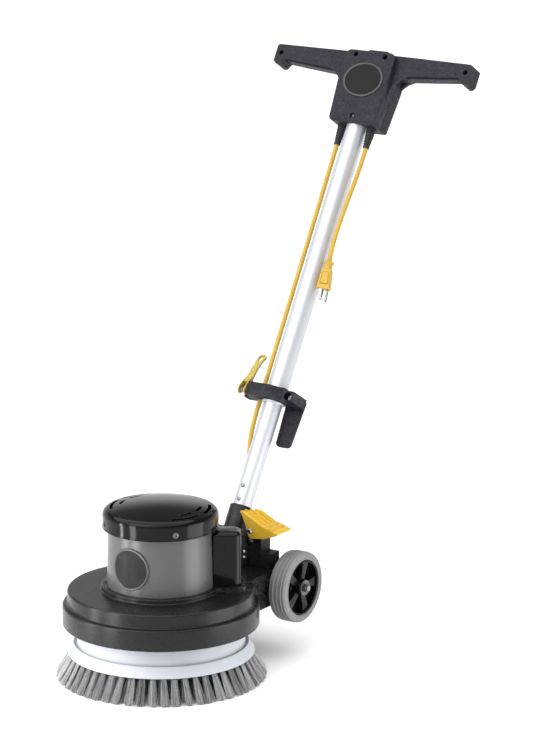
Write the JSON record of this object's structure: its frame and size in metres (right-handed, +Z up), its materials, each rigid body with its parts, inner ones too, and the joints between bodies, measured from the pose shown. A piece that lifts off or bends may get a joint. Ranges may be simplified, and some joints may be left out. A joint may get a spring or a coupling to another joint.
{
  "type": "rotary floor machine",
  "caption": "Upright rotary floor machine: round brush under a deck and motor, transport wheels, tilting telescopic handle with grips.",
  "frame": {"origin": "floor point under the middle of the machine's overall footprint, handle leaning back as at rest", "axes": "+Z up; the operator and the handle are towards +Y, the deck's front towards -Y, the wheel axle along X"},
  "size_m": [0.417, 0.9072, 1.0011],
  "materials": {
    "black_satin": "satin black coating on the cast deck",
    "black_gloss": "glossy black moulding",
    "black_matt": "matt black paint",
    "charcoal_plastic": "textured charcoal moulding",
    "grey_paint": "satin grey paint",
    "grey_tyre": "non-marking grey rubber",
    "white_plastic": "white structural foam plastic",
    "grey_bristle": "grey nylon bristle",
    "safety_yellow": "yellow moulding",
    "cord_yellow": "yellow cord jacket",
    "bright_tube": "bright anodised tube",
    "zinc": "zinc plated",
    "steel": "plain steel",
    "copper": "lacquered copper windings on laminations",
    "black_rubber": "soft black rubber"
  },
  "bodies": {
    "machine": {"deck_housing": "black_satin", "ring_gear": "steel", "gearbox_cover": "steel", "motor_shell": "grey_paint", "motor_stator": "copper", "motor_end_bell": "steel", "motor_cap": "black_gloss", "capacitor_box": "black_gloss", "run_capacitor": "steel", "motor_badge": "black_satin", "wheel_axle": "zinc", "axle_washer_left": "zinc", "axle_washer_right": "zinc", "axle_nut_left": "zinc", "axle_nut_right": "zinc", "handle_bracket": "black_matt", "pivot_pin": "zinc", "pedal_bolt": "zinc"},
    "brush": {"brush_block": "white_plastic", "brush_bristles": "grey_bristle", "drive_plate": "steel", "planet_carrier": "steel"},
    "planet_1": {"planet_gear_1": "steel"},
    "planet_2": {"planet_gear_2": "steel"},
    "planet_3": {"planet_gear_3": "steel"},
    "rotor": {"motor_rotor": "steel", "cooling_fan": "black_matt"},
    "wheel_left": {"tyre_left": "grey_tyre", "wheel_hub_left": "black_gloss"},
    "wheel_right": {"tyre_right": "grey_tyre", "wheel_hub_right": "black_gloss"},
    "pedal": {"foot_pedal": "safety_yellow"},
    "lower_handle": {"yoke_socket": "black_satin", "lower_tube": "bright_tube", "cord_boot": "black_rubber", "motor_cord_lower": "cord_yellow"},
    "upper_handle": {"upper_tube": "bright_tube", "clamp_ring": "white_plastic", "tube_clamp": "charcoal_plastic", "clamp_bolt": "steel", "cord_hook": "charcoal_plastic", "lever_pin": "zinc", "draw_bolt": "steel", "head_front_cover": "charcoal_plastic", "head_rear_cover": "charcoal_plastic", "head_badge": "black_satin", "power_switch": "black_matt", "strain_relief_left": "black_rubber", "strain_relief_right": "black_rubber", "motor_cord_upper": "cord_yellow", "power_cord": "cord_yellow", "power_plug": "cord_yellow", "plug_blade_left": "zinc", "plug_blade_right": "zinc", "plug_ground_pin": "zinc"},
    "clamp_lever": {"cam_lever": "safety_yellow"},
    "left_trigger": {"trigger_left": "charcoal_plastic"},
    "right_trigger": {"trigger_right": "charcoal_plastic"},
    "lock_button": {"safety_lock_button": "charcoal_plastic"}
  },
  "joints": [
    {"name": "handle_tilt", "type": "hinge", "parent": "machine", "child": "lower_handle", "pos_m": [0, -0.055, 0.1803], "axis": [1, 0, 0], "range_deg": [-49, 31]},
    {"name": "handle_extend", "type": "slide", "parent": "lower_handle", "child": "upper_handle", "axis": [0, 0.515, 0.8572], "range_m": [0, 0.1]},
    {"name": "clamp_lever_swing", "type": "hinge", "parent": "upper_handle", "child": "clamp_lever", "pos_m": [-0.054, 0.06675, 0.43147], "axis": [1, 0, 0], "range_deg": [0, 110]},
    {"name": "left_trigger_squeeze", "type": "hinge", "parent": "upper_handle", "child": "left_trigger", "pos_m": [-0.182, 0.4142, 0.96118], "axis": [0, -0.8572, 0.515], "range_deg": [0, 3], "stiffness_Nm_per_rad": 8, "springref_deg": -2.86},
    {"name": "right_trigger_squeeze", "type": "hinge", "parent": "upper_handle", "child": "right_trigger", "pos_m": [0.182, 0.4142, 0.96118], "axis": [0, 0.8572, -0.515], "range_deg": [0, 3], "stiffness_Nm_per_rad": 8, "springref_deg": -2.86},
    {"name": "lock_button_press", "type": "slide", "parent": "upper_handle", "child": "lock_button", "axis": [0, -0.515, -0.8572], "range_m": [0, 0.004], "stiffness_N_per_m": 800, "springref_m": -0.002},
    {"name": "pedal_press", "type": "hinge", "parent": "machine", "child": "pedal", "pos_m": [0.0645, -0.0659, 0.225], "axis": [0, 1, 0], "range_deg": [0, 14], "stiffness_Nm_per_rad": 3, "springref_deg": -8.59},
    {"name": "left_wheel_roll", "type": "hinge", "parent": "machine", "child": "wheel_left", "pos_m": [-0.132, -0.0455, 0.1245], "axis": [1, 0, 0], "continuous": true},
    {"name": "right_wheel_roll", "type": "hinge", "parent": "machine", "child": "wheel_right", "pos_m": [0.132, -0.0455, 0.1245], "axis": [1, 0, 0], "continuous": true},
    {"name": "brush_spin", "type": "hinge", "parent": "machine", "child": "brush", "pos_m": [0, -0.2695, 0.107], "axis": [0, 0, 1], "continuous": true},
    {"name": "rotor_spin", "type": "hinge", "parent": "machine", "child": "rotor", "pos_m": [0, -0.2695, 0.2125], "axis": [0, 0, 1], "continuous": true},
    {"name": "planet_1_spin", "type": "hinge", "parent": "brush", "child": "planet_1", "pos_m": [0, -0.2335, 0.137], "axis": [0, 0, 1], "continuous": true},
    {"name": "planet_2_spin", "type": "hinge", "parent": "brush", "child": "planet_2", "pos_m": [-0.03118, -0.2875, 0.137], "axis": [0, 0, 1], "continuous": true},
    {"name": "planet_3_spin", "type": "hinge", "parent": "brush", "child": "planet_3", "pos_m": [0.03118, -0.2875, 0.137], "axis": [0, 0, 1], "continuous": true}
  ],
  "couplings": [
    {"joint": "rotor_spin", "follows": "brush_spin", "ratio": 10},
    {"joint": "planet_1_spin", "follows": "brush_spin", "ratio": -2.25},
    {"joint": "planet_2_spin", "follows": "brush_spin", "ratio": -2.25},
    {"joint": "planet_3_spin", "follows": "brush_spin", "ratio": -2.25}
  ]
}
